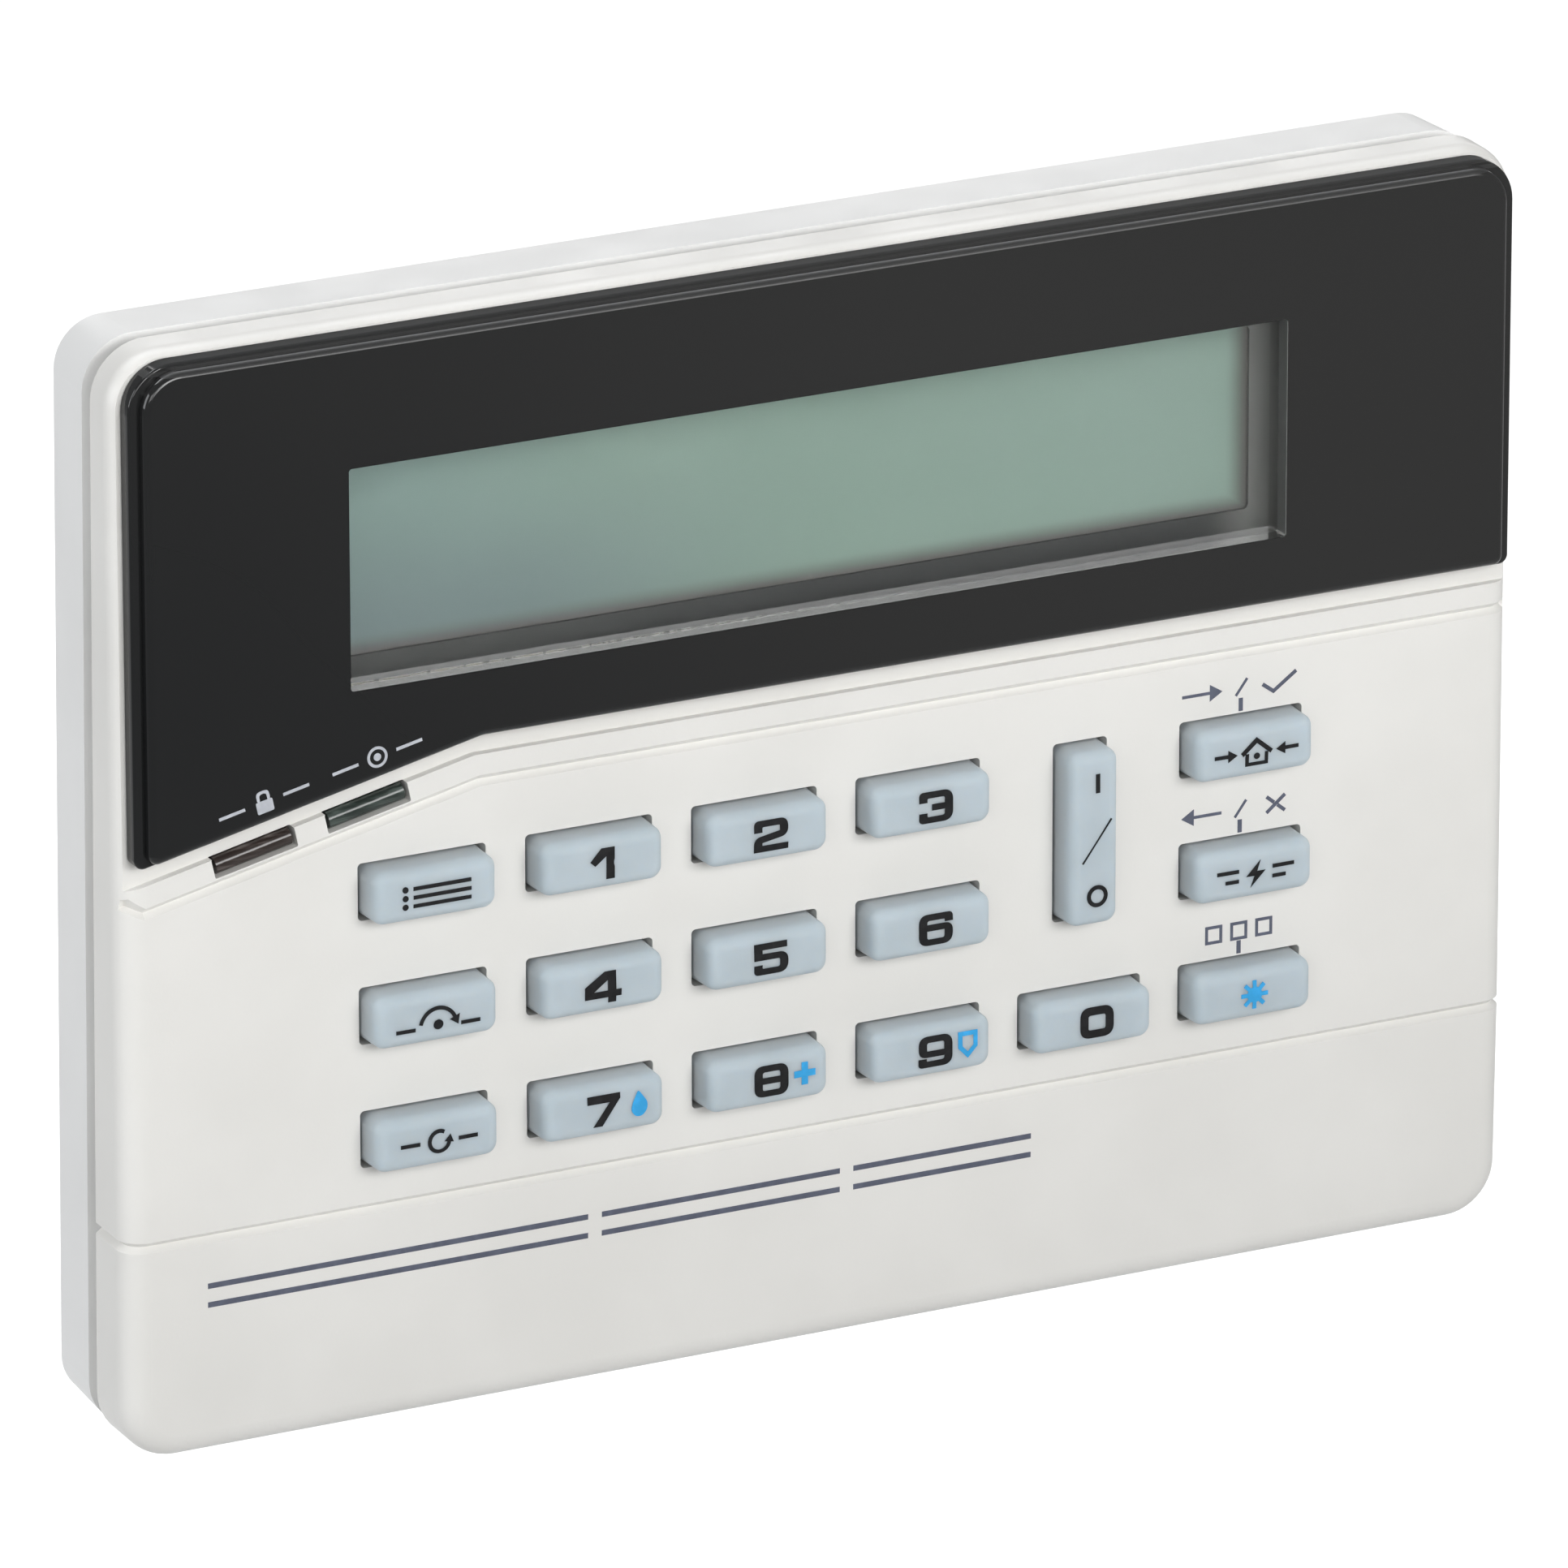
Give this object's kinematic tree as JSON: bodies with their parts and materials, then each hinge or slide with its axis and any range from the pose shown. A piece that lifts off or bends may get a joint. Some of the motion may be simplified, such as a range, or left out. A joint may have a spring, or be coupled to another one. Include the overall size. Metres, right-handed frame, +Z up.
{
  "type": "alarm keypad panel",
  "caption": "Wall-mounted alarm keypad panel: white two-part case, black display lens with a sloped lower corner, status windows and rubber push keys.",
  "frame": {"origin": "centre of the rear cover's flat back face, which sits on the wall", "axes": "+X to the right seen from the front, +Y into the wall, +Z up; the front faces -Y"},
  "size_m": [0.162, 0.0217, 0.1206],
  "materials": {
    "white_case": "fine matte moulded texture",
    "black_gloss": "polished",
    "clear_window": "polished, faintly smoked",
    "black_tape": "matte",
    "dark_steel": "satin",
    "display_glass": "semi-gloss grey-green",
    "diffuser": "milky",
    "green_board": "solder mask, satin",
    "tinned_wire": "bright tin",
    "zinc_screw": "zinc plated",
    "silicone": "translucent, matte",
    "carbon": "matte",
    "black_plastic": "matte",
    "connector_plastic": "natural nylon",
    "capacitor_can": "satin",
    "nickel_can": "bright",
    "red_led": "tinted clear",
    "green_led": "tinted clear",
    "smoked_red": "smoked, polished",
    "smoked_green": "smoked, polished"
  },
  "bodies": {
    "panel": {"address_jumpers": "black_plastic", "armed_led": "red_led", "armed_light_pipe": "smoked_red", "board_screws": "zinc_screw", "capacitors": "capacitor_can", "crystal": "nickel_can", "front_cover": "white_case", "key_lights": "diffuser", "keypad_mat": "silicone", "lcd_backlight": "diffuser", "lcd_bezel": "dark_steel", "lcd_board": "green_board", "lcd_glass": "display_glass", "lcd_jumpers": "tinned_wire", "lcd_screws": "zinc_screw", "lens_frame": "black_gloss", "lens_tape": "black_tape", "lens_window": "clear_window", "main_board": "green_board", "processor_chip": "black_plastic", "rear_cover": "white_case", "sounder": "black_plastic", "status_led": "green_led", "status_light_pipe": "smoked_green", "voltage_regulator": "black_plastic", "wire_connector": "connector_plastic"},
    "key_1": {"key_1": "silicone", "key_1_contact": "carbon"},
    "key_2": {"key_2": "silicone", "key_2_contact": "carbon"},
    "key_3": {"key_3": "silicone", "key_3_contact": "carbon"},
    "key_4": {"key_4": "silicone", "key_4_contact": "carbon"},
    "key_5": {"key_5": "silicone", "key_5_contact": "carbon"},
    "key_6": {"key_6": "silicone", "key_6_contact": "carbon"},
    "key_7": {"key_7": "silicone", "key_7_contact": "carbon"},
    "key_8": {"key_8": "silicone", "key_8_contact": "carbon"},
    "key_9": {"key_9": "silicone", "key_9_contact": "carbon"},
    "key_0": {"key_0": "silicone", "key_0_contact": "carbon"},
    "key_function": {"key_function": "silicone", "key_function_contact": "carbon"},
    "key_bypass": {"key_bypass": "silicone", "key_bypass_contact": "carbon"},
    "key_reset": {"key_reset": "silicone", "key_reset_contact": "carbon"},
    "key_on_off": {"key_on_off": "silicone", "key_on_off_contact": "carbon"},
    "key_interior": {"key_interior": "silicone", "key_interior_contact": "carbon"},
    "key_instant": {"key_instant": "silicone", "key_instant_contact": "carbon"},
    "key_star": {"key_star": "silicone", "key_star_contact": "carbon"}
  },
  "joints": [
    {"name": "key_1_press", "type": "slide", "parent": "panel", "child": "key_1", "axis": [0, 0.9998, -0.0209], "range_m": [0, 0.0012], "stiffness_N_per_m": 600},
    {"name": "key_2_press", "type": "slide", "parent": "panel", "child": "key_2", "axis": [0, 0.9998, -0.0209], "range_m": [0, 0.0012], "stiffness_N_per_m": 600},
    {"name": "key_3_press", "type": "slide", "parent": "panel", "child": "key_3", "axis": [0, 0.9998, -0.0209], "range_m": [0, 0.0012], "stiffness_N_per_m": 600},
    {"name": "key_4_press", "type": "slide", "parent": "panel", "child": "key_4", "axis": [0, 0.9998, -0.0209], "range_m": [0, 0.0012], "stiffness_N_per_m": 600},
    {"name": "key_5_press", "type": "slide", "parent": "panel", "child": "key_5", "axis": [0, 0.9998, -0.0209], "range_m": [0, 0.0012], "stiffness_N_per_m": 600},
    {"name": "key_6_press", "type": "slide", "parent": "panel", "child": "key_6", "axis": [0, 0.9998, -0.0209], "range_m": [0, 0.0012], "stiffness_N_per_m": 600},
    {"name": "key_7_press", "type": "slide", "parent": "panel", "child": "key_7", "axis": [0, 0.9998, -0.0209], "range_m": [0, 0.0012], "stiffness_N_per_m": 600},
    {"name": "key_8_press", "type": "slide", "parent": "panel", "child": "key_8", "axis": [0, 0.9998, -0.0209], "range_m": [0, 0.0012], "stiffness_N_per_m": 600},
    {"name": "key_9_press", "type": "slide", "parent": "panel", "child": "key_9", "axis": [0, 0.9998, -0.0209], "range_m": [0, 0.0012], "stiffness_N_per_m": 600},
    {"name": "key_0_press", "type": "slide", "parent": "panel", "child": "key_0", "axis": [0, 0.9998, -0.0209], "range_m": [0, 0.0012], "stiffness_N_per_m": 600},
    {"name": "key_function_press", "type": "slide", "parent": "panel", "child": "key_function", "axis": [0, 0.9998, -0.0209], "range_m": [0, 0.0012], "stiffness_N_per_m": 600},
    {"name": "key_bypass_press", "type": "slide", "parent": "panel", "child": "key_bypass", "axis": [0, 0.9998, -0.0209], "range_m": [0, 0.0012], "stiffness_N_per_m": 600},
    {"name": "key_reset_press", "type": "slide", "parent": "panel", "child": "key_reset", "axis": [0, 0.9998, -0.0209], "range_m": [0, 0.0012], "stiffness_N_per_m": 600},
    {"name": "key_on_off_press", "type": "slide", "parent": "panel", "child": "key_on_off", "axis": [0, 0.9998, -0.0209], "range_m": [0, 0.0012], "stiffness_N_per_m": 600},
    {"name": "key_interior_press", "type": "slide", "parent": "panel", "child": "key_interior", "axis": [0, 0.9998, -0.0209], "range_m": [0, 0.0012], "stiffness_N_per_m": 600},
    {"name": "key_instant_press", "type": "slide", "parent": "panel", "child": "key_instant", "axis": [0, 0.9998, -0.0209], "range_m": [0, 0.0012], "stiffness_N_per_m": 600},
    {"name": "key_star_press", "type": "slide", "parent": "panel", "child": "key_star", "axis": [0, 0.9998, -0.0209], "range_m": [0, 0.0012], "stiffness_N_per_m": 600}
  ]
}
